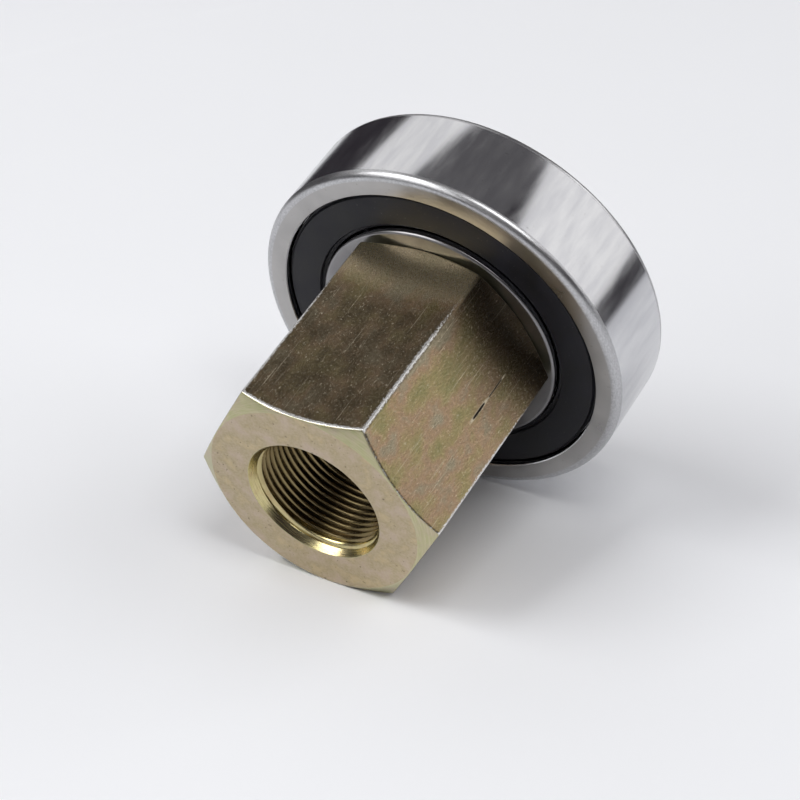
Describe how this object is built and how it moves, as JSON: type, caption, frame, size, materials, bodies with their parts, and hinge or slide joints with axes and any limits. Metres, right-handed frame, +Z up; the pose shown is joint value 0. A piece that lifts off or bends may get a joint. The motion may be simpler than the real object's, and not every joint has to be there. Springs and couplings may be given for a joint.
{
  "type": "cam follower",
  "caption": "Sealed ball-bearing roller pressed onto a hexagonal spindle with a fine internal thread in its far end; the roller turns freely along a cam track.",
  "frame": {"origin": "middle of the spindle's flat rear end face, on the spin axis", "axes": "+Y along the spin axis from the bearing towards the threaded end, +Z up and square to a pair of the hexagon's flats, +X to the side"},
  "size_m": [0.062, 0.0576, 0.062],
  "materials": {
    "polished_bearing_steel": "ground and polished",
    "ball_steel": "polished",
    "pressed_cage_steel": "pressed sheet",
    "seal_rubber": "satin",
    "seal_insert_steel": "plain sheet",
    "yellow_zinc_plating": "yellow passivated zinc plating on steel",
    "blackened_spring_steel": "oil blackened"
  },
  "bodies": {
    "spindle": {"hex_spindle": "yellow_zinc_plating", "inner_ring": "polished_bearing_steel", "retaining_ring": "blackened_spring_steel"},
    "roller": {"outer_ring": "polished_bearing_steel", "front_seal_rubber": "seal_rubber", "front_seal_insert": "seal_insert_steel", "rear_seal_rubber": "seal_rubber", "rear_seal_insert": "seal_insert_steel"},
    "cage": {"cage_front_half": "pressed_cage_steel", "cage_rear_half": "pressed_cage_steel", "cage_rivet_1": "pressed_cage_steel", "cage_rivet_2": "pressed_cage_steel", "cage_rivet_3": "pressed_cage_steel", "cage_rivet_4": "pressed_cage_steel", "cage_rivet_5": "pressed_cage_steel", "cage_rivet_6": "pressed_cage_steel", "cage_rivet_7": "pressed_cage_steel", "cage_rivet_8": "pressed_cage_steel", "cage_rivet_9": "pressed_cage_steel"},
    "ball_1": {"ball_1": "ball_steel"},
    "ball_2": {"ball_2": "ball_steel"},
    "ball_3": {"ball_3": "ball_steel"},
    "ball_4": {"ball_4": "ball_steel"},
    "ball_5": {"ball_5": "ball_steel"},
    "ball_6": {"ball_6": "ball_steel"},
    "ball_7": {"ball_7": "ball_steel"},
    "ball_8": {"ball_8": "ball_steel"},
    "ball_9": {"ball_9": "ball_steel"}
  },
  "joints": [
    {"name": "roller_spin", "type": "hinge", "parent": "spindle", "child": "roller", "pos_m": [0, 0.0116, 0], "axis": [0, 1, 0], "continuous": true},
    {"name": "cage_orbit", "type": "hinge", "parent": "spindle", "child": "cage", "pos_m": [0, 0.0116, 0], "axis": [0, 1, 0], "continuous": true},
    {"name": "ball_1_spin", "type": "hinge", "parent": "cage", "child": "ball_1", "pos_m": [0, 0.0116, 0.023], "axis": [0, 1, 0], "continuous": true},
    {"name": "ball_2_spin", "type": "hinge", "parent": "cage", "child": "ball_2", "pos_m": [0.01478, 0.0116, 0.01762], "axis": [0, 1, 0], "continuous": true},
    {"name": "ball_3_spin", "type": "hinge", "parent": "cage", "child": "ball_3", "pos_m": [0.02265, 0.0116, 0.00399], "axis": [0, 1, 0], "continuous": true},
    {"name": "ball_4_spin", "type": "hinge", "parent": "cage", "child": "ball_4", "pos_m": [0.01992, 0.0116, -0.0115], "axis": [0, 1, 0], "continuous": true},
    {"name": "ball_5_spin", "type": "hinge", "parent": "cage", "child": "ball_5", "pos_m": [0.00787, 0.0116, -0.02161], "axis": [0, 1, 0], "continuous": true},
    {"name": "ball_6_spin", "type": "hinge", "parent": "cage", "child": "ball_6", "pos_m": [-0.00787, 0.0116, -0.02161], "axis": [0, 1, 0], "continuous": true},
    {"name": "ball_7_spin", "type": "hinge", "parent": "cage", "child": "ball_7", "pos_m": [-0.01992, 0.0116, -0.0115], "axis": [0, 1, 0], "continuous": true},
    {"name": "ball_8_spin", "type": "hinge", "parent": "cage", "child": "ball_8", "pos_m": [-0.02265, 0.0116, 0.00399], "axis": [0, 1, 0], "continuous": true},
    {"name": "ball_9_spin", "type": "hinge", "parent": "cage", "child": "ball_9", "pos_m": [-0.01478, 0.0116, 0.01762], "axis": [0, 1, 0], "continuous": true}
  ],
  "couplings": [
    {"joint": "cage_orbit", "follows": "roller_spin", "ratio": 0.60353},
    {"joint": "ball_1_spin", "follows": "roller_spin", "ratio": 2.3112},
    {"joint": "ball_2_spin", "follows": "roller_spin", "ratio": 2.3112},
    {"joint": "ball_3_spin", "follows": "roller_spin", "ratio": 2.3112},
    {"joint": "ball_4_spin", "follows": "roller_spin", "ratio": 2.3112},
    {"joint": "ball_5_spin", "follows": "roller_spin", "ratio": 2.3112},
    {"joint": "ball_6_spin", "follows": "roller_spin", "ratio": 2.3112},
    {"joint": "ball_7_spin", "follows": "roller_spin", "ratio": 2.3112},
    {"joint": "ball_8_spin", "follows": "roller_spin", "ratio": 2.3112},
    {"joint": "ball_9_spin", "follows": "roller_spin", "ratio": 2.3112}
  ]
}
